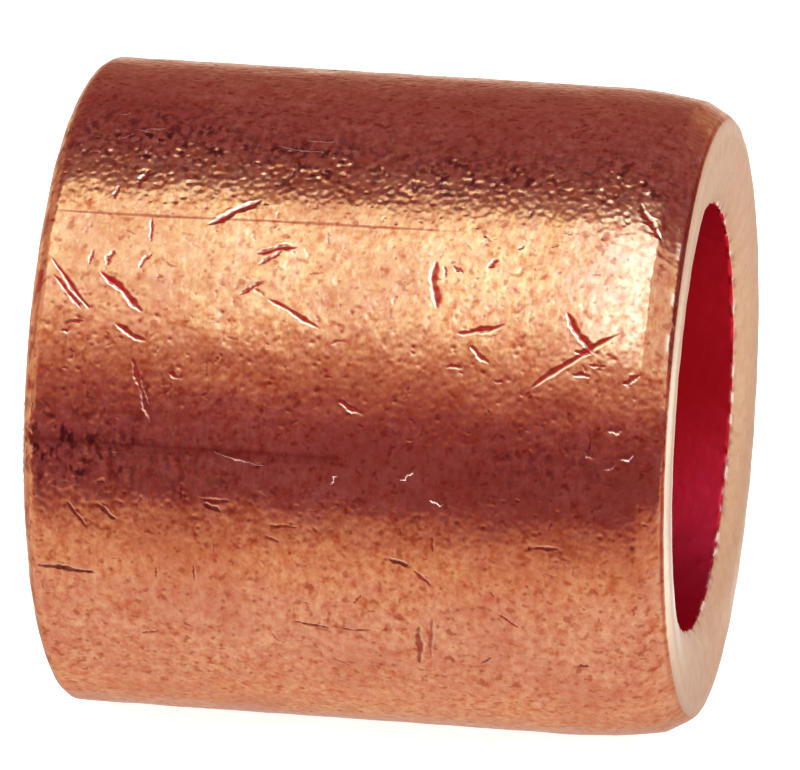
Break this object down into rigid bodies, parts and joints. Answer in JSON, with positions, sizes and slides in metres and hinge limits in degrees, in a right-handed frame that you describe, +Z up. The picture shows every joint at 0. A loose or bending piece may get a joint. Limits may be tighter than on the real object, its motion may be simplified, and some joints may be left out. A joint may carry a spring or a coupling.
{
  "type": "concentric reducer",
  "caption": "Thick-walled copper reducing bushing for soldered tube: plain outside, rounded nose with a pierced waterway, and a deep socket for the smaller tube.",
  "frame": {"origin": "on the bushing's axis, halfway between the mouth and the nose", "axes": "+X along the axis towards the nose, with the socket's mouth at -X; +Z up as the bushing lies on its side"},
  "size_m": [0.022, 0.022, 0.022],
  "materials": {
    "copper": "tumbled, lightly scuffed"
  },
  "bodies": {
    "root": {"bushing_body": "copper"}
  },
  "joints": []
}
